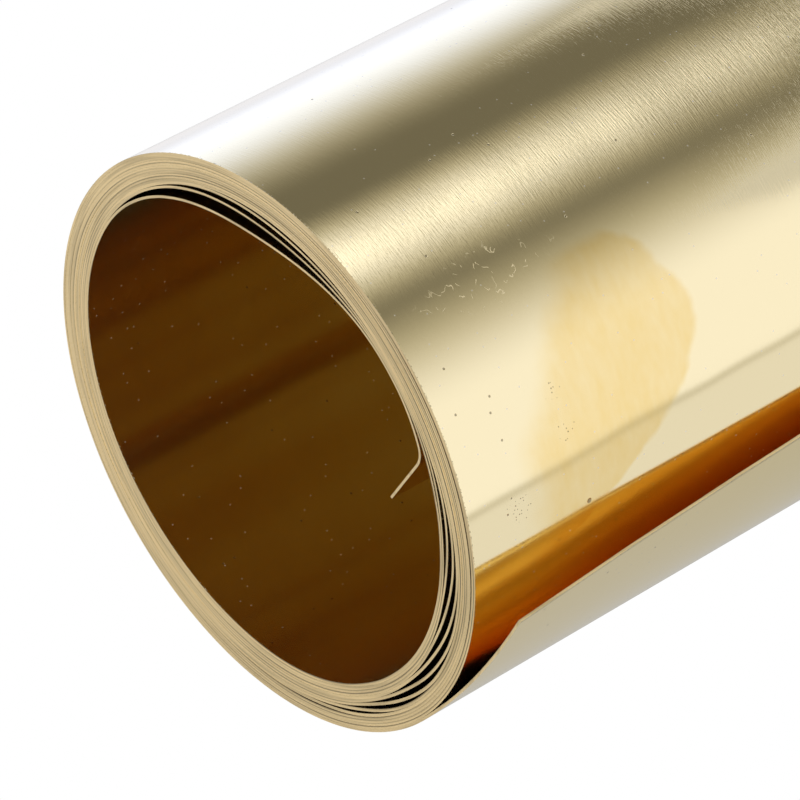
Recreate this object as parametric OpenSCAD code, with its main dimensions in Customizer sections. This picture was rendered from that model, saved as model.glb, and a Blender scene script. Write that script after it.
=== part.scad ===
// Roll of brass shim stock: one strip of thin sheet wound into a coil.
// The coil stands on one end, with its axis along Z.
// Its inner end is bent into a lip, and its outer end springs off as a tail.
// Turns lie tight on each other except where they open into slim gaps.
// Angles run counter-clockwise from +X, seen from above.

/* [Sheet] */
// Thickness of the sheet
sheet_t = 0.25; // [0.1:0.05:0.3]
// Width of the strip, which is the height of the roll
sheet_w = 150; // [50:5:300]

/* [Coil] */
// Outside diameter of the coil where the tail leaves it
coil_od = 61; // [57:1:90]
// Whole turns from the lip to the tail, before the last part turn
turns = 13; // [11:1:15]
// Air between turns that lie tight
turn_gap = 0.02; // [0.02:0.01:0.05]

/* [Loose turns] */
// Number of pockets in the row before the lip, one between each pair of turns
pocket_count = 9; // [5:1:10]
// Widest opening of the largest pocket
pocket_gap = 0.63; // [0.1:0.01:0.7]
// Number of crescents past the lip, one between each pair of turns
crescent_count = 3; // [1:1:4]
// Widest opening of the innermost crescent
crescent_gap = 1.35; // [0.2:0.05:1.6]
// Opening of the three hairline gaps in the outer turns
hairline_gap = 0.08; // [0:0.01:0.12]
// Extra air between every two turns, on the side away from the crescents
sag_gap = 0.09; // [0:0.01:0.1]

/* [Lip] */
// Angle round the coil where the inner end leaves the turns
lip_at_deg = 42; // [0:1:90]
// Radius of the inward curve that leads to the bend
lip_lead_radius = 15; // [12:1:18]
// Angle of that inward curve
lip_lead_deg = 20; // [14:1:28]
// Radius of the bend
lip_bend_radius = 1.5; // [0.8:0.1:3]
// Angle of the bend
lip_bend_deg = 50; // [20:1:70]
// Straight length past the bend
lip_len = 7.9; // [3:0.1:10]

/* [Tail] */
// Angle round the coil where the outer end springs off
tail_at_deg = 319; // [250:1:340]
// Radius that the sprung end relaxes to
tail_radius = 75; // [60:5:200]
// Length of the sprung end
tail_len = 23.2; // [10:0.1:40]

/* [Hidden] */

// Angle between neighbouring points of the winding
facet_deg = 5;
// Points along each short arc of the lip and the tail
arc_steps = 8;
// One whole turn
turn_deg = 360;
// Distance from one turn to the next where they lie tight
pitch = sheet_t + turn_gap;
// The winding angle runs on from turn to turn, from the lip to the tail
wind_start_deg = lip_at_deg;
wind_end_deg = tail_at_deg + turn_deg * turns;
// Radius of the middle of the sheet where the tail leaves the coil
end_radius = coil_od / 2 - sheet_t / 2;

// Slight inward kick where the lip leaves the turns
lip_kick_deg = 2;
// Middle of the first pocket and the way to the last one, counted back from the lip
pocket_first_deg = 18;
pocket_way_deg = 99;
// Half the angle that a pocket spans: the least, and what the largest adds
pocket_half_deg = 12;
pocket_swell_deg = 16;
// Pockets are largest a little before the middle of their row
pocket_lean_ratio = 0.8;
// Start of the crescents past the lip, the innermost one's span, and what each next one loses
crescent_start_deg = 5;
crescent_span_deg = 102;
crescent_step_deg = 18;
// Each crescent opens this share of the one inside it
crescent_share_ratio = 0.48;
// Hairline gaps lie this many turns in from the outside
hairline_turns = [1, 3, 7];
// Middle of the hairline gaps and half their span
hairline_at_deg = 55;
hairline_half_deg = 75;
// Middle of the sag and half its span
sag_at_deg = 262;
sag_half_deg = 105;

// Size of a pocket within its row, up to 1
function pocket_size(i) = sin(180 * pow((i + 0.5) / pocket_count, pocket_lean_ratio));

// Every gap between a turn and the next: winding angle of its middle, half its span, opening
pockets = [
    for (i = [0 : pocket_count - 1])
        [lip_at_deg + turn_deg * (i + 1) - pocket_first_deg - pocket_way_deg * i / (pocket_count - 1),
         pocket_half_deg + pocket_swell_deg * pocket_size(i),
         pocket_gap * pocket_size(i)]
];
crescents = [
    for (i = [0 : crescent_count - 1])
        let (half_deg = (crescent_span_deg - crescent_step_deg * i) / 2)
        [lip_at_deg + turn_deg * i + crescent_start_deg + half_deg,
         half_deg,
         crescent_gap * pow(crescent_share_ratio, i)]
];
hairlines = [
    for (turn = hairline_turns)
        [hairline_at_deg + turn_deg * (turns - turn), hairline_half_deg, hairline_gap]
];
sags = [
    for (turn = [0 : turns - 1])
        [sag_at_deg + turn_deg * turn, sag_half_deg, sag_gap]
];
gaps = concat(pockets, crescents, hairlines, sags);

// Smooth hump: 1 in the middle, 0 from one half-span away
function hump(away) = abs(away) < 1 ? pow(cos(90 * away), 2) : 0;

// How far a gap pushes the sheet inwards at a winding angle: it moves its own turn and all inside it
function push(gap, angle) =
    let (laps = max(0, round((gap[0] - angle) / turn_deg)))
    gap[2] * hump((angle + turn_deg * laps - gap[0]) / gap[1]);

// Sum of a list of numbers
function total(list) = list * [for (number = list) 1];

// Radius of the middle of the sheet at a winding angle
function wound_radius(angle) =
    end_radius - pitch * (wind_end_deg - angle) / turn_deg
    - total([for (gap = gaps) push(gap, angle)]);

function polar(radius, angle) = radius * [cos(angle), sin(angle)];

// Points of an arc that starts at a point with a heading and turns by an angle, left if positive
function arc(start, heading, radius, turned) =
    let (side = sign(turned), centre = start + polar(radius, heading + 90 * side))
    [for (k = [1 : arc_steps]) centre - polar(radius, heading + 90 * side + turned * k / arc_steps)];

function last(list) = list[len(list) - 1];
function reversed(list) = [for (i = [len(list) - 1 : -1 : 0]) list[i]];

// Middle line of the wound turns
wound_path = [
    for (angle = [wind_start_deg : facet_deg : wind_end_deg - 0.1])
        polar(wound_radius(angle), angle),
    polar(wound_radius(wind_end_deg), wind_end_deg)
];

// Middle line of the inner end, from the coil to the lip's edge
lip_heading_deg = lip_at_deg - 90 - lip_kick_deg;
lip_lead = arc(wound_path[0], lip_heading_deg, lip_lead_radius, -lip_lead_deg);
lip_bend = arc(last(lip_lead), lip_heading_deg - lip_lead_deg, lip_bend_radius, -lip_bend_deg);
lip_edge = last(lip_bend) + polar(lip_len, lip_heading_deg - lip_lead_deg - lip_bend_deg);
lip_path = concat(lip_lead, lip_bend, [lip_edge]);

// Middle line of the outer end, from the coil to the tail's edge
tail_path = arc(last(wound_path), tail_at_deg + 90, tail_radius, tail_len / tail_radius * 180 / PI);

strip_path = concat(reversed(lip_path), wound_path, tail_path);

// Left-hand normal of a path at one of its points
function normal(path, i) =
    let (ahead = path[min(i + 1, len(path) - 1)] - path[max(i - 1, 0)])
    [-ahead.y, ahead.x] / norm(ahead);

// Line beside a path, at a distance to its left
function beside(path, distance) =
    [for (i = [0 : len(path) - 1]) path[i] + distance * normal(path, i)];

// Section of the strip, with the coil's axis at the origin
strip_section = concat(
    beside(strip_path, sheet_t / 2),
    reversed(beside(strip_path, -sheet_t / 2))
);

// Middle of the box round the section
section_x = [for (point = strip_section) point.x];
section_y = [for (point = strip_section) point.y];
section_middle = [min(section_x) + max(section_x), min(section_y) + max(section_y)] / 2;

module shim_roll() {
    color("#c9ad62")
    translate(-section_middle)
    linear_extrude(sheet_w)
    polygon(strip_section);
}

shim_roll();
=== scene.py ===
import math

import bpy
from bpy.props import FloatProperty, FloatVectorProperty, IntProperty, PointerProperty
from mathutils import Matrix, Vector


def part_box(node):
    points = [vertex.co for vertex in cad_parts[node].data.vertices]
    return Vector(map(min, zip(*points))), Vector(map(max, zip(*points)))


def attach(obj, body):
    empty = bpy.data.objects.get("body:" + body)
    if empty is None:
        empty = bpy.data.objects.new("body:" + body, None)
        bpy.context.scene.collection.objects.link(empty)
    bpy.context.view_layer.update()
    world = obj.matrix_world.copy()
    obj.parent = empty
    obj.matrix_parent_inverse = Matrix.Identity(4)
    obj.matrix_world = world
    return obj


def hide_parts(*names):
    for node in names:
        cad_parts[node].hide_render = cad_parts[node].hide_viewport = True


bl_info = {
    "name": "Shim Stock Roll",
    "version": (1, 0, 0),
    "blender": (4, 5, 0),
    "location": "3D View > Sidebar > Shim Roll",
    "description": "Winds a strip of thin brass sheet into a loose roll and sets it on a pale floor",
    "category": "Object",
}

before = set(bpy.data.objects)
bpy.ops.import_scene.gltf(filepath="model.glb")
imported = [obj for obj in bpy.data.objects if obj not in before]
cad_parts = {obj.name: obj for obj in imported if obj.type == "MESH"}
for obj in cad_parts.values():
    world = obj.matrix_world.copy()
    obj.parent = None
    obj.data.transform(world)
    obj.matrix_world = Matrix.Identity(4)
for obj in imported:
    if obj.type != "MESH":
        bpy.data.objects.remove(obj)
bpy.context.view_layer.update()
NODE = "shim_roll"
ROLL_LOW, ROLL_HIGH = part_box(NODE)
TURN = 2 * math.pi


class StripSizes(bpy.types.PropertyGroup):
    """Sizes of the wound strip, in metres and radians. Angles run counter-clockwise seen from above."""

    sheet_thickness: FloatProperty(
        name="Sheet thickness", description="Thickness of the brass sheet",
        default=0.000266, min=0.0001, precision=6, unit="LENGTH")
    coil_diameter: FloatProperty(
        name="Coil diameter", description="Outside diameter where the tail leaves the coil",
        default=0.06096, min=0.02, precision=5, unit="LENGTH")
    axis_x: FloatProperty(
        name="Axis X", description="Place of the coil's axis along X",
        default=-0.002476, precision=6, unit="LENGTH")
    axis_y: FloatProperty(
        name="Axis Y", description="Place of the coil's axis along Y",
        default=0.000067, precision=6, unit="LENGTH")
    whole_turns: IntProperty(
        name="Whole turns", description="Turns from the lip to the tail, before the last part turn",
        default=13, min=4, max=30)
    pitch: FloatProperty(
        name="Pitch", description="Distance from one turn to the next where they lie tight",
        default=0.00027, min=0.0001, precision=6, unit="LENGTH")
    pocket_count: IntProperty(
        name="Pockets", description="Slim pockets in the row before the lip",
        default=9, min=2, max=12)
    pocket_gap: FloatProperty(
        name="Pocket opening", description="Widest opening of the largest pocket",
        default=0.00063, min=0.0, precision=5, unit="LENGTH")
    crescent_count: IntProperty(
        name="Crescents", description="Crescent gaps past the lip",
        default=3, min=1, max=5)
    crescent_gap: FloatProperty(
        name="Crescent opening", description="Widest opening of the innermost crescent",
        default=0.00135, min=0.0, precision=5, unit="LENGTH")
    hairline_gap: FloatProperty(
        name="Hairline opening", description="Opening of the hairline gaps in the outer turns",
        default=0.00008, min=0.0, precision=5, unit="LENGTH")
    sag_gap: FloatProperty(
        name="Sag", description="Extra air between every two turns, on the side away from the crescents",
        default=0.00009, min=0.0, precision=5, unit="LENGTH")
    lip_angle: FloatProperty(
        name="Lip angle", description="Angle where the inner end leaves the turns",
        default=math.radians(42.8), subtype="ANGLE", unit="ROTATION")
    lip_kick: FloatProperty(
        name="Lip kick", description="Slight inward kick where the lip leaves the turns",
        default=math.radians(2), subtype="ANGLE", unit="ROTATION")
    lip_lead_radius: FloatProperty(
        name="Lip lead radius", description="Radius of the inward curve that leads to the lip's bend",
        default=0.0162, precision=4, unit="LENGTH")
    lip_lead: FloatProperty(
        name="Lip lead", description="Angle of that inward curve",
        default=math.radians(21), subtype="ANGLE", unit="ROTATION")
    lip_bend_radius: FloatProperty(
        name="Lip bend radius", description="Radius of the bend",
        default=0.00265, precision=5, unit="LENGTH")
    lip_bend: FloatProperty(
        name="Lip bend", description="Angle of the bend",
        default=math.radians(51), subtype="ANGLE", unit="ROTATION")
    lip_length: FloatProperty(
        name="Lip length", description="Straight length past the bend",
        default=0.0069, precision=4, unit="LENGTH")
    tail_angle: FloatProperty(
        name="Tail angle", description="Angle where the outer end springs off",
        default=math.radians(319), subtype="ANGLE", unit="ROTATION")
    tail_radius: FloatProperty(
        name="Tail radius", description="Radius that the sprung end relaxes to at the top",
        default=0.0765, precision=4, unit="LENGTH")
    tail_length: FloatProperty(
        name="Tail length", description="Length of the sprung end",
        default=0.02305, precision=4, unit="LENGTH")
    tail_close: FloatProperty(
        name="Tail closing", description="Extra curvature, in 1/m, that the tail gains below the top",
        default=18.0, min=0.0)
    tail_drop: FloatProperty(
        name="Tail drop", description="How far the tail's corner has walked down from the top",
        default=0.001, min=0.0, precision=5, unit="LENGTH")
    edge_play: FloatProperty(
        name="Edge play", description="How far the strip's edges wander inwards from the flat ends",
        default=0.00012, min=0.0, precision=5, unit="LENGTH")


class BrassFinish(bpy.types.PropertyGroup):
    """Colours and gloss of the sheet."""

    sheet_colour: FloatVectorProperty(
        name="Sheet", description="Clean rolled brass", subtype="COLOR", size=3, min=0, max=1,
        default=(0.93, 0.79, 0.46))
    # Also used as painted shade: it tints the inside of the tail to darken the amber reflections there
    tarnish_and_tail_shade_colour: FloatVectorProperty(
        name="Tarnish", description="Golden handling stain", subtype="COLOR", size=3, min=0, max=1,
        default=(0.88, 0.66, 0.27))
    edge_colour: FloatVectorProperty(
        name="Sheared edge", description="Cut edge of the sheet", subtype="COLOR", size=3, min=0, max=1,
        default=(0.97, 0.75, 0.38))
    # Also paints shade into the lines between turns on the cut edges
    speck_and_gap_shade_colour: FloatVectorProperty(
        name="Specks", description="Small dark spots", subtype="COLOR", size=3, min=0, max=1,
        default=(0.13, 0.09, 0.04))
    dust_colour: FloatVectorProperty(
        name="Dust", description="Pale specks of dust", subtype="COLOR", size=3, min=0, max=1,
        default=(0.78, 0.74, 0.64))
    sheet_roughness: FloatProperty(
        name="Sheet roughness", description="Roughness of the rolled face",
        default=0.085, min=0, max=1, subtype="FACTOR")
    edge_roughness: FloatProperty(
        name="Edge roughness", description="Roughness of the cut edge",
        default=0.5, min=0, max=1, subtype="FACTOR")


class StudioSettings(bpy.types.PropertyGroup):
    """Floor and light."""

    floor_colour: FloatVectorProperty(
        name="Floor", description="Colour of the floor", subtype="COLOR", size=3, min=0, max=1,
        default=(0.92, 0.92, 0.92))
    floor_reach: FloatProperty(
        name="Floor reach", description="Half the side of the floor", default=0.13, min=0.05, unit="LENGTH")
    dim_level: FloatProperty(
        name="Dim level", description="Light between the softboxes", default=0.17, min=0)
    box_level: FloatProperty(
        name="Softbox level", description="Light of the softboxes", default=1.0, min=0)


class Link:
    """An output socket, with the arithmetic that the trees use."""

    def __init__(self, net, socket):
        self.net = net
        self.socket = socket

    def math(self, operation, first, second=0.0):
        return self.net.math(operation, first, second)

    def __add__(self, other):
        return self.math("ADD", self, other)

    def __radd__(self, other):
        return self.math("ADD", other, self)

    def __sub__(self, other):
        return self.math("SUBTRACT", self, other)

    def __rsub__(self, other):
        return self.math("SUBTRACT", other, self)

    def __mul__(self, other):
        return self.math("MULTIPLY", self, other)

    def __truediv__(self, other):
        return self.math("DIVIDE", self, other)

    def __abs__(self):
        return self.math("ABSOLUTE", self)

    def least(self, other):
        return self.math("MINIMUM", self, other)

    def most(self, other):
        return self.math("MAXIMUM", self, other)

    def floor(self):
        return self.math("FLOOR", self)

    def round(self):
        return self.math("ROUND", self)

    def sin(self):
        return self.math("SINE", self)

    def cos(self):
        return self.math("COSINE", self)

    def exp(self):
        return self.math("EXPONENT", self)

    def above(self, other):
        return self.math("GREATER_THAN", self, other)


class Net:
    """A node tree being wired."""

    def __init__(self, tree):
        self.tree = tree
        self.sizes = {}

    def node(self, kind, settings=None, inputs=None, out=0):
        node = self.tree.nodes.new(kind)
        for name, value in (settings or {}).items():
            setattr(node, name, value)
        for key, value in (inputs or {}).items():
            if isinstance(value, Link):
                self.tree.links.new(value.socket, node.inputs[key])
            else:
                node.inputs[key].default_value = value
        return Link(self, node.outputs[out]) if node.outputs else node

    def math(self, operation, first, second=0.0):
        return self.node("ShaderNodeMath", {"operation": operation}, {0: first, 1: second})

    def all_outputs(self, link):
        return [Link(self, socket) for socket in link.socket.node.outputs]

    def size(self, name, kind="NodeSocketFloat"):
        """Adds a named input to a geometry tree."""
        socket = self.tree.interface.new_socket(name, in_out="INPUT", socket_type=kind)
        self.sizes[name] = socket.identifier

    def xyz(self, vector):
        return self.all_outputs(self.node("ShaderNodeSeparateXYZ", {}, {0: vector}))

    def vector(self, x, y, z):
        return self.node("ShaderNodeCombineXYZ", {}, {0: x, 1: y, 2: z})

    def mix(self, factor, first, second):
        return self.node("ShaderNodeMix", {"data_type": "RGBA"}, {0: factor, 6: first, 7: second}, 2)

    def smooth(self, value, low, high, at_low=0.0, at_high=1.0):
        return self.node(
            "ShaderNodeMapRange", {"interpolation_type": "SMOOTHSTEP"},
            {0: value, 1: low, 2: high, 3: at_low, 4: at_high})

    def noise(self, vector, scale, detail=2.0, roughness=0.5, dimensions="3D"):
        return self.node(
            "ShaderNodeTexNoise", {"noise_dimensions": dimensions},
            {"Vector": vector, "Scale": scale, "Detail": detail, "Roughness": roughness})

    def wander(self, place):
        """Noise along a line."""
        return self.node(
            "ShaderNodeTexNoise", {"noise_dimensions": "1D"}, {"W": place, "Scale": 1.0, "Detail": 2.0})


def opaque(colour):
    return (*colour, 1.0)


# The row of pockets leans back from the lip, and they are largest a little before its middle
POCKET_ROW_START = math.radians(18)
POCKET_ROW_SPAN = math.radians(99)
POCKET_ROW_LEAN = 0.8
POCKET_HALF_LEAST = math.radians(12)
POCKET_HALF_GAIN = math.radians(16)

# Each crescent starts just past the lip, and is shorter and slimmer than the one inside it
CRESCENT_START = math.radians(5)
CRESCENT_SPAN = math.radians(102)
CRESCENT_SPAN_STEP = math.radians(18)
CRESCENT_SHARE = 0.48

# Hairline gaps: turns in from the outside, angle of the middle, half the span, share of the hairline gap
HAIRLINES = ((2, 15, 60, 1.5), (4, 45, 95, 1.4), (7, 30, 70, 0.6), (9, 20, 60, 0.6))

SAG_ANGLE = math.radians(262)
SAG_HALF = math.radians(105)


def gap_table(strip):
    """Every gap between a turn and the next: winding angle of its middle, half its span, opening."""
    gaps = []
    for i in range(strip.pocket_count):
        size = math.sin(math.pi * ((i + 0.5) / strip.pocket_count) ** POCKET_ROW_LEAN)
        back = POCKET_ROW_START + POCKET_ROW_SPAN * i / (strip.pocket_count - 1)
        middle = strip.lip_angle + TURN * (i + 1) - back
        gaps.append((middle, POCKET_HALF_LEAST + POCKET_HALF_GAIN * size, strip.pocket_gap * size))
    for i in range(strip.crescent_count):
        half = (CRESCENT_SPAN - CRESCENT_SPAN_STEP * i) / 2
        middle = strip.lip_angle + TURN * i + CRESCENT_START + half
        gaps.append((middle, half, strip.crescent_gap * CRESCENT_SHARE ** i))
    for inwards, middle, half, share in HAIRLINES:
        wound = math.radians(middle) + TURN * (strip.whole_turns - inwards)
        gaps.append((wound, math.radians(half), strip.hairline_gap * share))
    for turn in range(strip.whole_turns):
        gaps.append((SAG_ANGLE + TURN * turn, SAG_HALF, strip.sag_gap))
    return gaps


LIP_STEPS = 72
TAIL_STEPS = 24
STEPS_PER_TURN = 180
ACROSS_STEPS = 10
TAIL_CLOSE_REACH = 0.07
EDGE_PLAY_PER_TURN = 1.7
FOOT_PLAY_START = 40.0


def wound_strip_tree(strip):
    """Geometry tree that bends a flat grid into the wound strip. Its incoming points hold the gap table."""
    tree = bpy.data.node_groups.new("Wound strip", "GeometryNodeTree")
    net = Net(tree)
    tree.interface.new_socket("Geometry", in_out="OUTPUT", socket_type="NodeSocketGeometry")
    net.size("Gap table", "NodeSocketGeometry")
    for name in ("Strip width", "End radius", "Pitch", "Wind start", "Wind end",
                 "Lip kick", "Lip lead radius", "Lip lead", "Lip bend radius", "Lip bend", "Lip length",
                 "Tail curvature", "Tail closing", "Tail length", "Tail drop",
                 "Axis X", "Axis Y", "Top", "Edge play"):
        net.size(name)
    net.size("Sheet finish", "NodeSocketMaterial")
    group = net.tree.nodes.new("NodeGroupInput")
    given = {socket.name: Link(net, socket) for socket in group.outputs if socket.name}

    wound_angle = strip.tail_angle + TURN * strip.whole_turns - strip.lip_angle
    wound_steps = round(wound_angle / TURN * STEPS_PER_TURN)
    along_count = LIP_STEPS + wound_steps + TAIL_STEPS + 1
    across_count = ACROSS_STEPS + 1
    grid = net.node("GeometryNodeMeshGrid", {}, {"Vertices X": along_count, "Vertices Y": across_count})
    index = net.node("GeometryNodeInputIndex")
    column = ((index + 0.5) / across_count).floor()
    across = (index - column * across_count) / ACROSS_STEPS
    step = column - LIP_STEPS

    # Winding angle, held at its ends over the lip and the tail
    share = (step / wound_steps).most(0.0).least(1.0)
    angle = given["Wind start"] + (given["Wind end"] - given["Wind start"]) * share

    # Each gap pushes its own turn and all turns inside it towards the axis
    repeat_in = tree.nodes.new("GeometryNodeRepeatInput")
    repeat_out = tree.nodes.new("GeometryNodeRepeatOutput")
    repeat_in.pair_with_output(repeat_out)
    repeat_out.repeat_items.clear()
    repeat_out.repeat_items.new("FLOAT", "Push")
    repeat_out.repeat_items.new("INT", "Gap")
    gap_points = net.node("GeometryNodeAttributeDomainSize", {"component": "MESH"}, {0: given["Gap table"]})
    tree.links.new(gap_points.socket, repeat_in.inputs["Iterations"])
    number = Link(net, repeat_in.outputs["Gap"])
    row = net.node(
        "GeometryNodeSampleIndex", {"data_type": "FLOAT_VECTOR", "domain": "POINT"},
        {"Geometry": given["Gap table"], "Value": net.node("GeometryNodeInputPosition"), "Index": number})
    middle, half, opening = net.xyz(row)
    laps = ((middle - angle) / TURN).round().most(0.0)
    away = abs((angle + laps * TURN - middle) / half).least(1.0)
    hump = (away * (math.pi / 2)).cos()
    push = Link(net, repeat_in.outputs["Push"]) + opening * hump * hump
    tree.links.new(push.socket, repeat_out.inputs["Push"])
    tree.links.new((number + 1.0).socket, repeat_out.inputs["Gap"])
    pushed = Link(net, repeat_out.outputs["Push"])
    radius = given["End radius"] - given["Pitch"] * (given["Wind end"] - angle) / TURN - pushed

    # Lip: an inward curve, a tight bend and a straight edge, walked back from the first turn
    lead_length = given["Lip lead radius"] * given["Lip lead"]
    bend_length = given["Lip bend radius"] * given["Lip bend"]
    walked = (0.0 - step).most(0.0) / LIP_STEPS * (lead_length + bend_length + given["Lip length"])
    heading = given["Wind start"] - math.pi / 2 - given["Lip kick"]
    after_lead = heading - walked.least(lead_length) / given["Lip lead radius"]
    after_bend = after_lead - (walked - lead_length).most(0.0).least(bend_length) / given["Lip bend radius"]
    straight = (walked - lead_length - bend_length).most(0.0)
    lip_x = (given["Lip lead radius"] * (heading.sin() - after_lead.sin())
             + given["Lip bend radius"] * (after_lead.sin() - after_bend.sin()) + straight * after_bend.cos())
    lip_y = (given["Lip lead radius"] * (after_lead.cos() - heading.cos())
             + given["Lip bend radius"] * (after_bend.cos() - after_lead.cos()) + straight * after_bend.sin())

    # Tail: a slack curve that closes a little below the top
    sprung = (step - wound_steps).most(0.0) / TAIL_STEPS * given["Tail length"]
    depth = across * given["Strip width"]
    closed = 1.0 - (depth * (-1 / TAIL_CLOSE_REACH)).exp()
    curvature = given["Tail curvature"] + given["Tail closing"] * closed
    tail_heading = given["Wind end"] + math.pi / 2
    tail_turned = tail_heading + sprung * curvature
    tail_x = (tail_turned.sin() - tail_heading.sin()) / curvature
    tail_y = (tail_heading.cos() - tail_turned.cos()) / curvature

    # Edges that wander a little inwards from the flat ends
    turns = angle / TURN
    play_top = net.wander(turns * EDGE_PLAY_PER_TURN)
    play_foot = net.wander(turns * EDGE_PLAY_PER_TURN + FOOT_PLAY_START)
    along_tail = sprung / given["Tail length"]
    drop = given["Tail drop"] * along_tail * along_tail * (1.0 - across)
    play = given["Edge play"] * (play_foot * across - play_top * (1.0 - across))
    height = given["Top"] - depth - drop + play

    place = net.vector(
        given["Axis X"] + radius * angle.cos() + lip_x + tail_x,
        given["Axis Y"] + radius * angle.sin() + lip_y + tail_y, height)
    sheet = net.node("GeometryNodeSetPosition", {}, {"Geometry": grid, "Position": place})
    run = (angle - given["Wind start"]) * given["End radius"] + sprung - walked
    flat_place = net.node(
        "GeometryNodeFieldOnDomain", {"data_type": "FLOAT_VECTOR", "domain": "POINT"},
        {"Value": net.vector(run, depth, 0.0)})
    sheet = net.node(
        "GeometryNodeStoreNamedAttribute", {"data_type": "FLOAT2", "domain": "CORNER"},
        {"Geometry": sheet, "Name": "sheet", "Value": flat_place})
    sheet = net.node(
        "GeometryNodeStoreNamedAttribute", {"data_type": "FLOAT", "domain": "POINT"},
        {"Geometry": sheet, "Name": "turn", "Value": turns})
    sheet = net.node("GeometryNodeSetShadeSmooth", {}, {"Geometry": sheet})
    sheet = net.node("GeometryNodeRealizeInstances", {}, {"Geometry": sheet})
    sheet = net.node("GeometryNodeSetMaterial", {}, {"Geometry": sheet, "Material": given["Sheet finish"]})
    out = tree.nodes.new("NodeGroupOutput")
    tree.links.new(sheet.socket, out.inputs[0])
    return net


def material_net(name):
    material = bpy.data.materials.new(name)
    material.use_nodes = True
    material.node_tree.nodes.clear()
    return material, Net(material.node_tree)


SEED_STEP = 31.0

# Handling stain: angle of its middle, how deep it reaches, how strongly its far side bows, how much it frays
STAIN_ANGLE = 33.5
STAIN_DEPTH = 0.032
STAIN_BOW = 68.0
STAIN_FRAY = 0.004

# Clusters of fine pits, and one larger pit: angle, depth, reach
PIT_CLUSTERS = ((29.5, 0.0130, 0.0013), (21.5, 0.0135, 0.0017), (13.0, 0.0060, 0.0018))
LARGE_PIT = (6.5, 0.0146, 0.0003)


class SheetMap:
    """Places on the flat sheet, as run along the strip and depth below the top, and patterns on them."""

    def __init__(self, net, strip):
        self.net = net
        self.strip = strip
        self.end_radius = (strip.coil_diameter - strip.sheet_thickness) / 2
        self.run, self.depth, _ = net.xyz(net.node("ShaderNodeUVMap", {"uv_map": "sheet"}))
        self.tail_root = self.run_at(math.degrees(strip.tail_angle))
        self.tail_end = self.tail_root + strip.tail_length

    def run_at(self, degrees):
        """Run at an angle on the last turn."""
        wound = math.radians(degrees) + TURN * self.strip.whole_turns
        return (wound - self.strip.lip_angle) * self.end_radius

    def spread(self, per_run, per_depth, seed):
        return self.net.vector(self.run * per_run + seed * SEED_STEP, self.depth * per_depth, 0.0)

    def noise(self, per_run, per_depth, seed, detail, roughness=0.5):
        return self.net.noise(self.spread(per_run, per_depth, seed), 1.0, detail, roughness, "2D")

    def dots(self, per_metre, seed):
        """Scattered dots: distance from the nearest, and its two random draws."""
        cells = self.net.node(
            "ShaderNodeTexVoronoi", {"feature": "F1", "voronoi_dimensions": "2D"},
            {"Vector": self.spread(per_metre, per_metre, seed), "Scale": 1.0})
        lot, size, _ = self.net.xyz(self.net.all_outputs(cells)[1])
        return cells, lot, size

    def off_spot(self, degrees, depth, reach):
        """Squared distance from a spot on the last turn, 1 at its reach."""
        away_run = (self.run - self.run_at(degrees)) / reach
        away_depth = (self.depth - depth) / reach
        return away_run * away_run + away_depth * away_depth


def handling_stain(sheet, clouds):
    """Golden handling tarnish on the last turn: bowed far side, slanting and softer near side."""
    smooth = sheet.net.smooth
    smears = sheet.noise(320.0, 800.0, 9, 2.0, 0.6)
    off_run = sheet.run - sheet.run_at(STAIN_ANGLE)
    frayed = (clouds - 0.5) * STAIN_FRAY
    far_side = smooth(STAIN_DEPTH - off_run * off_run * STAIN_BOW - sheet.depth + frayed, -0.0002, 0.0010)
    near_side = smooth(sheet.depth - (off_run * 0.73 + 0.012).most(0.0075) + frayed, -0.0015, 0.0040)
    upper_end = smooth(off_run + frayed * 0.5, 0.0098, 0.0080)
    return far_side * near_side * upper_end * (0.3 + clouds * 0.6 + smears * 0.5)


def curled_scratches(sheet):
    """Short curled scratches on one patch of the last turn."""
    smooth = sheet.net.smooth
    curls = abs(sheet.noise(600.0, 800.0, 21, 1.0) - 0.5)
    broken = smooth(sheet.noise(900.0, 900.0, 23, 1.0), 0.52, 0.6)
    off_patch = abs(sheet.run - sheet.run_at(53)) / 0.004 + abs(sheet.depth - 0.012) / 0.010
    return smooth(curls, 0.022, 0.008) * broken * smooth(off_patch, 1.2, 0.5)


def dark_specks(sheet):
    """Pits all over, in clusters and one larger, and dotted dirt along the top edge and the tail's end."""
    smooth = sheet.net.smooth
    cells, lot, _ = sheet.dots(700.0, 0)
    specks = smooth(cells, 0.11, 0.05) * lot.above(0.985)
    cells, lot, size = sheet.dots(2600.0, 5)
    fine = smooth(cells, size * 0.22 + 0.08, 0.06)
    for degrees, depth, reach in PIT_CLUSTERS:
        crowd = smooth(sheet.off_spot(degrees, depth, reach), 1.0, 0.0)
        specks = specks.most(fine * lot.above(1.0 - crowd * 0.55))
    specks = specks.most(smooth(sheet.off_spot(*LARGE_PIT), 1.0, 0.4))
    burr = smooth(sheet.noise(3200.0, 3200.0, 11, 2.0, 0.6), 0.56, 0.64)
    top_edge = smooth(sheet.depth, 0.00014, 0.00004)
    tail_edge = smooth(sheet.run, sheet.tail_end - 0.0005, sheet.tail_end - 0.0002)
    return specks.most(top_edge * burr).most(tail_edge * (burr * 0.5 + 0.4))


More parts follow.
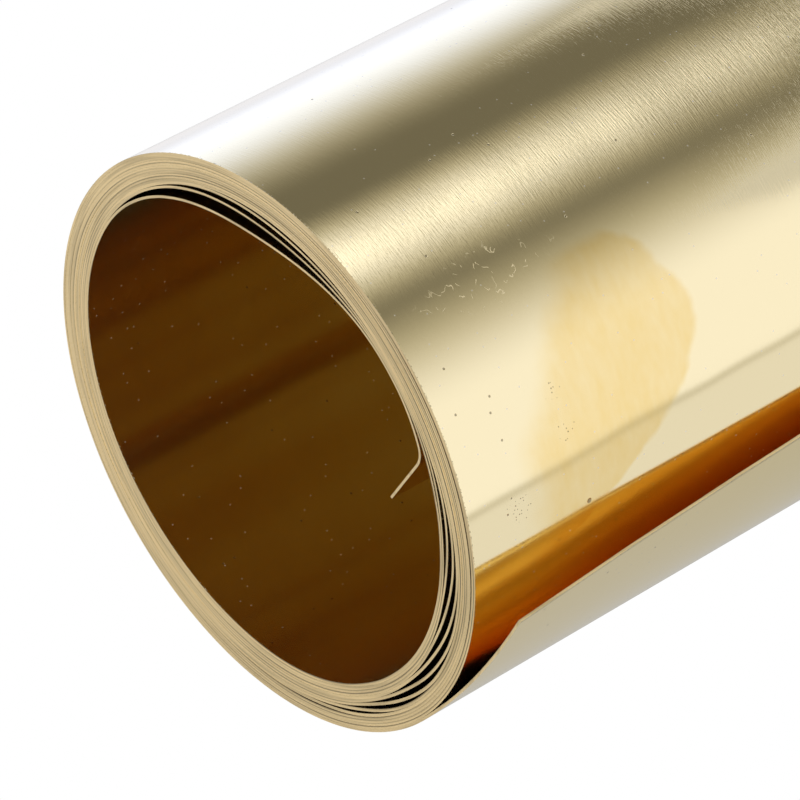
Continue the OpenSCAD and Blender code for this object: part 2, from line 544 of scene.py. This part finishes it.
def rolled_brass(finish, strip):
    """Bright rolled face: brush marks along the strip, a golden handling tarnish, a few scratches, specks and
    dust, and painted shade that tints the inside of the tail.
    """
    material, net = material_net("rolled_brass")
    sheet = SheetMap(net, strip)
    run = sheet.run
    clouds = sheet.noise(120.0, 120.0, 7, 3.0, 0.55)
    stain_and_tail_shade = handling_stain(sheet, clouds)
    scratches = curled_scratches(sheet)
    specks = dark_specks(sheet)

    # Short brush marks along the run over the top of the roll, and slow waves that bend reflections a little
    brush = sheet.noise(480.0, 6200.0, 1, 2.5, 0.65)
    brushed = net.smooth(run, sheet.run_at(38), sheet.run_at(56), 0.15, 0.75)
    waves = sheet.noise(35.0, 60.0, 3, 1.0)

    # The bore and the inside of the tail are duller. The inside of the tail also gets painted shade: its
    # colour is tinted towards the tarnish colour to darken the amber reflections there
    inner = 1.0 - net.node("ShaderNodeAttribute", {"attribute_name": "side"}, {}, "Fac")
    tail_inside = net.smooth(run, sheet.tail_root + 0.003, sheet.tail_root + 0.016) * inner
    stain_and_tail_shade = stain_and_tail_shade.most(tail_inside * net.smooth(sheet.depth, 0.008, 0.03))
    first_turn = TURN * sheet.end_radius
    bore = net.smooth(run, first_turn, first_turn - 0.01) * inner

    # Pale dust
    cells, lot, _ = sheet.dots(800.0, 13)
    dust = net.smooth(cells, 0.1, 0.04) * lot.above(1.05 - clouds * 0.3)

    # Tarnish colour goes on the handling tarnish and, as painted shade, on the inside of the tail
    colour = net.mix(stain_and_tail_shade.least(1.0), opaque(finish.sheet_colour), opaque(finish.tarnish_and_tail_shade_colour))
    colour = net.mix(specks * 0.65, colour, opaque(finish.speck_and_gap_shade_colour))
    colour = net.mix(dust * 0.5, colour, opaque(finish.dust_colour))
    worn = (brush - 0.5) * 0.05 + stain_and_tail_shade * 0.03 + scratches * 0.5
    roughness = finish.sheet_roughness + worn + tail_inside * 0.07 + bore * 0.05
    bump = net.node(
        "ShaderNodeBump", {},
        {"Strength": 1.0, "Distance": 0.00001, "Height": brush * brushed + waves * 11.0 - specks * 2.0})
    shader = net.node(
        "ShaderNodeBsdfPrincipled", {},
        {"Base Color": colour, "Metallic": 1.0 - dust * 0.35, "Roughness": roughness, "Normal": bump})
    net.node("ShaderNodeOutputMaterial", {}, {"Surface": shader})
    return material


# Way from the axis, opposite the side of the end where the painted shade between turns is faint
GAP_SHADE_SIDE = (0.82, 0.57)


def sheared_brass(finish, strip):
    """Cut edge of the sheet: matt, with streaks along the turns, painted shade in the lines between turns and
    a few dark nicks.
    """
    material, net = material_net("sheared_brass")
    place = net.node("ShaderNodeTexCoord", {}, {}, "Object")
    x, y, _ = net.xyz(place)
    off_x = x - strip.axis_x
    off_y = y - strip.axis_y
    radius = net.math("SQRT", off_x * off_x + off_y * off_y)
    turn = net.node("ShaderNodeAttribute", {"attribute_name": "turn"}, {}, "Fac")
    side = net.node("ShaderNodeAttribute", {"attribute_name": "side"}, {}, "Fac")

    def by_turn(scale, seed):
        return net.wander(turn * scale + seed)

    # Painted shade in the lines between turns, streaks along them and rare nicks
    sagging = net.smooth((off_x * GAP_SHADE_SIDE[0] + off_y * GAP_SHADE_SIDE[1]) / radius, -0.55, -0.9)
    painted_gap_shade = net.smooth(side, 0.55, 0.1) * net.smooth(by_turn(2.3, 5.0), 0.42, 0.62) * (1.0 - sagging * 0.6)
    streaks = net.noise(net.vector(radius * 3300.0, off_x * 90.0, off_y * 90.0), 1.0, 2.0, 0.6)
    grain = net.noise(place, 3000.0, 2.0, 0.6)
    nicks = net.smooth(net.noise(place, 2400.0, 2.0, 0.6), 0.76, 0.84)
    colour = net.mix(
        net.smooth(by_turn(4.7, 0.0), 0.35, 0.65) * 0.2 + net.smooth(streaks, 0.45, 0.66) * 0.4,
        opaque(finish.edge_colour), opaque([0.5 * part for part in finish.edge_colour]))
    colour = net.mix(net.smooth(grain, 0.4, 0.7) * 0.1, colour, opaque(finish.sheet_colour))
    # Painted shade between turns and the dark nicks both take the speck colour
    colour = net.mix((painted_gap_shade * 0.75).most(nicks * 0.7), colour, opaque(finish.speck_and_gap_shade_colour))
    roughness = finish.edge_roughness + (grain - 0.5) * 0.2
    bump = net.node("ShaderNodeBump", {}, {"Strength": 0.4, "Distance": 0.0001, "Height": grain})
    shader = net.node(
        "ShaderNodeBsdfPrincipled", {},
        {"Base Color": colour, "Metallic": 1.0, "Roughness": roughness, "Normal": bump})
    net.node("ShaderNodeOutputMaterial", {}, {"Surface": shader})
    return material


def dress_sides(mesh, strip):
    """Marks the outer side, gives the cut edges their finish and thickens the sheet to close the sag."""
    half = len(mesh.vertices) // 2
    axis = Vector((strip.axis_x, strip.axis_y, 0.0))
    side = mesh.attributes.new("side", "FLOAT", "POINT")
    for first, second in zip(mesh.vertices[:half], mesh.vertices[half:]):
        inner, outer = sorted((first, second), key=lambda vertex: (vertex.co - axis).xy.length)
        side.data[outer.index].value = 1.0
        out = (inner.co - axis).xy
        away = (math.atan2(out.y, out.x) - SAG_ANGLE + math.pi) % TURN - math.pi
        if abs(away) < SAG_HALF and out.length < strip.coil_diameter / 2:
            inner.co.xy -= out.normalized() * strip.sag_gap * math.cos(away / SAG_HALF * math.pi / 2) ** 2
    for face in mesh.polygons:
        face.material_index = int(min(face.vertices) < half <= max(face.vertices))


LEAST_FACES = 1000
SHARP_ANGLE = math.radians(50)


class SHIMROLL_OT_strip(bpy.types.Operator):
    """Winds the brass strip and puts it in the place of the plain solid"""

    bl_idname = "shimroll.strip"
    bl_label = "Wind Brass Strip"

    def execute(self, context):
        strip = context.scene.shimroll_strip
        finish = context.scene.shimroll_finish
        sheet_finish = rolled_brass(finish, strip)
        edge_finish = sheared_brass(finish, strip)

        table = bpy.data.meshes.new("gap_table")
        table.from_pydata(gap_table(strip), [], [])
        winder = bpy.data.objects.new("winder", table)
        context.scene.collection.objects.link(winder)
        net = wound_strip_tree(strip)
        wind = winder.modifiers.new("Wind", "NODES")
        wind.node_group = net.tree
        values = {
            "Strip width": ROLL_HIGH.z - ROLL_LOW.z,
            "End radius": (strip.coil_diameter - strip.sheet_thickness) / 2,
            "Pitch": strip.pitch,
            "Wind start": strip.lip_angle,
            "Wind end": strip.tail_angle + TURN * strip.whole_turns,
            "Lip kick": strip.lip_kick,
            "Lip lead radius": strip.lip_lead_radius,
            "Lip lead": strip.lip_lead,
            "Lip bend radius": strip.lip_bend_radius,
            "Lip bend": strip.lip_bend,
            "Lip length": strip.lip_length,
            "Tail curvature": 1 / strip.tail_radius,
            "Tail closing": strip.tail_close,
            "Tail length": strip.tail_length,
            "Tail drop": strip.tail_drop,
            "Axis X": strip.axis_x,
            "Axis Y": strip.axis_y,
            "Top": ROLL_HIGH.z,
            "Edge play": strip.edge_play,
            "Sheet finish": sheet_finish,
        }
        for name, value in values.items():
            wind[net.sizes[name]] = value
        thicken = winder.modifiers.new("Thicken", "SOLIDIFY")
        thicken.thickness = strip.sheet_thickness
        thicken.offset = 0.0
        thicken.use_even_offset = True

        context.view_layer.update()
        depsgraph = context.evaluated_depsgraph_get()
        wound = winder.evaluated_get(depsgraph)
        mesh = bpy.data.meshes.new_from_object(wound, preserve_all_data_layers=True, depsgraph=depsgraph)
        mesh.name = "brass_strip"
        bpy.data.objects.remove(winder)
        if len(mesh.polygons) < LEAST_FACES:
            raise RuntimeError("the strip did not wind")
        mesh.materials.clear()
        mesh.materials.append(sheet_finish)
        mesh.materials.append(edge_finish)
        dress_sides(mesh, strip)
        mesh.set_sharp_from_angle(angle=SHARP_ANGLE)
        piece = bpy.data.objects.new("brass_strip", mesh)
        context.scene.collection.objects.link(piece)
        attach(piece, "root")
        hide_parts(NODE)
        return {"FINISHED"}


def floor_finish(studio):
    """Pale floor that keeps a soft shadow and fades into the white round it."""
    material, net = material_net("pale_floor")
    place = net.node("ShaderNodeTexCoord", {}, {}, "Object")
    x, y, _ = net.xyz(place)
    away = net.math("SQRT", x * x + y * y)
    rays = {link.socket.name: link for link in net.all_outputs(net.node("ShaderNodeLightPath"))}
    matt = net.node("ShaderNodeBsdfDiffuse", {}, {"Color": opaque(studio.floor_colour)})
    white = net.node("ShaderNodeEmission", {}, {"Color": (1.0, 1.0, 1.0, 1.0), "Strength": 1.0})
    fade = net.smooth(away, studio.floor_reach * 0.35, studio.floor_reach, 0.65, 1.0)
    shown = rays["Is Camera Ray"] * fade + rays["Is Glossy Ray"] * 0.06
    shader = net.node("ShaderNodeMixShader", {}, {0: shown, 1: matt, 2: white})
    net.node("ShaderNodeOutputMaterial", {}, {"Surface": shader})
    return material


def studio_world(studio):
    """White for the camera. For all else, tall softboxes round the roll's axis with dim air between."""
    world = bpy.data.worlds.new("studio")
    world.use_nodes = True
    world.node_tree.nodes.clear()
    net = Net(world.node_tree)
    way = net.node("ShaderNodeTexCoord", {}, {}, "Generated")
    x, y, z = net.xyz(way)
    rad = math.radians

    # Bearing round the axis, from -100 to 260 degrees
    cos80, sin80 = math.cos(rad(80)), math.sin(rad(80))
    bearing = net.math("ARCTAN2", y * cos80 - x * sin80, x * cos80 + y * sin80) + rad(80)

    def rise(low, high):
        return net.smooth(bearing, rad(low), rad(high))

    def fall(low, high):
        return net.smooth(bearing, rad(low), rad(high), 1.0, 0.0)

    # Softboxes, each between bearings in degrees. The strip light is weaker low down.
    side_light = rise(-16.5, -12.5) * fall(24, 74) * 0.87 + fall(-17.5, -13.5) * rise(-60, -40) * 0.68
    strip_light = rise(65, 96) * fall(86, 115) * 0.85 * net.smooth(z, -0.64, -0.53, 0.0, 1.6)
    window_light = rise(126, 178) * (1.05 - rise(182, 200) * 0.3 - rise(205, 235) * 0.39)
    wall_light = fall(-60, -40) * 0.36
    level = (side_light + strip_light + window_light + wall_light) * studio.box_level + studio.dim_level

    # Bright light is cool, most of all from the window, and dim light is warm
    bright = net.smooth(level, 0.25, 1.05)
    cool = rise(128, 168) * fall(185, 215)
    colour = net.node(
        "ShaderNodeCombineColor", {},
        {0: level * (1.0 - cool * 0.06), 1: level * (0.97 + bright * 0.06 + cool * 0.04),
         2: level * (0.86 + bright * 0.32 + cool * 0.4)})

    camera = net.node("ShaderNodeLightPath", {}, {}, "Is Camera Ray")
    room = net.node("ShaderNodeBackground", {}, {"Color": colour, "Strength": 1.0})
    white = net.node("ShaderNodeBackground", {}, {"Color": (1.0, 1.0, 1.0, 1.0), "Strength": 1.0})
    shader = net.node("ShaderNodeMixShader", {}, {0: camera, 1: room, 2: white})
    net.node("ShaderNodeOutputWorld", {}, {"Surface": shader})
    return world


# Light bounces many times between the turns and down the bore
BOUNCES = 16

# Camera: focal length and picture width in pixels, axes, and place along back, right and up in units
FOCAL_PIXELS = 5384
PICTURE_PIXELS = 800
SENSOR_MM = 36.0
CAMERA_BACK = Vector((0.59255, 0.60911, 0.52713)).normalized()
CAMERA_RIGHT = Vector((0.66465, 0.0, -0.74716)).normalized()
CAMERA_PLACE = Vector((16.965, 0.4342, 0.1441))
CAMERA_UNIT = 0.03039
CAMERA_REACH = 20.0


class SHIMROLL_OT_stage(bpy.types.Operator):
    """Sets up the floor, the soft studio light and the camera"""

    bl_idname = "shimroll.stage"
    bl_label = "Set Stage"

    def execute(self, context):
        scene = context.scene
        strip = scene.shimroll_strip
        studio = scene.shimroll_studio
        scene.view_settings.view_transform = "Standard"
        scene.world = studio_world(studio)
        scene.cycles.max_bounces = BOUNCES
        scene.cycles.glossy_bounces = BOUNCES

        mesh = bpy.data.meshes.new("floor")
        reach = studio.floor_reach
        corners = [(-reach, -reach, 0.0), (reach, -reach, 0.0), (reach, reach, 0.0), (-reach, reach, 0.0)]
        mesh.from_pydata(corners, [], [(0, 1, 2, 3)])
        mesh.materials.append(floor_finish(studio))
        floor = bpy.data.objects.new("floor", mesh)
        scene.collection.objects.link(floor)

        # The camera looks down on the top end from the right and is rolled, so that the roll seems to lie
        centre = Vector((strip.axis_x, strip.axis_y, ROLL_HIGH.z))
        axes = (CAMERA_BACK, CAMERA_RIGHT, CAMERA_BACK.cross(CAMERA_RIGHT))
        lens = bpy.data.cameras.new("camera")
        lens.sensor_width = SENSOR_MM
        lens.lens = SENSOR_MM * FOCAL_PIXELS / PICTURE_PIXELS
        lens.clip_end = CAMERA_REACH
        camera = bpy.data.objects.new("camera", lens)
        spot = centre + CAMERA_UNIT * sum((far * axis for far, axis in zip(CAMERA_PLACE, axes)), Vector())
        turn = Matrix((axes[1], axes[2], axes[0])).transposed()
        camera.matrix_world = Matrix.Translation(spot) @ turn.to_4x4()
        scene.collection.objects.link(camera)
        scene.camera = camera
        return {"FINISHED"}


class SHIMROLL_PT_panel(bpy.types.Panel):
    """Sizes, finish and the steps that make the roll"""

    bl_label = "Shim Roll"
    bl_idname = "SHIMROLL_PT_panel"
    bl_space_type = "VIEW_3D"
    bl_region_type = "UI"
    bl_category = "Shim Roll"

    def draw(self, context):
        layout = self.layout
        scene = context.scene
        for group in (scene.shimroll_strip, scene.shimroll_finish, scene.shimroll_studio):
            box = layout.box()
            for name in group.__annotations__:
                box.prop(group, name)
        layout.operator(SHIMROLL_OT_strip.bl_idname)
        layout.operator(SHIMROLL_OT_stage.bl_idname)


CLASSES = (StripSizes, BrassFinish, StudioSettings, SHIMROLL_OT_strip, SHIMROLL_OT_stage, SHIMROLL_PT_panel)


def register():
    for cls in CLASSES:
        bpy.utils.register_class(cls)
    bpy.types.Scene.shimroll_strip = PointerProperty(type=StripSizes)
    bpy.types.Scene.shimroll_finish = PointerProperty(type=BrassFinish)
    bpy.types.Scene.shimroll_studio = PointerProperty(type=StudioSettings)


def unregister():
    del bpy.types.Scene.shimroll_studio
    del bpy.types.Scene.shimroll_finish
    del bpy.types.Scene.shimroll_strip
    for cls in reversed(CLASSES):
        bpy.utils.unregister_class(cls)


def main():
    register()
    bpy.ops.shimroll.stage()
    bpy.ops.shimroll.strip()


if __name__ == "__main__":
    main()
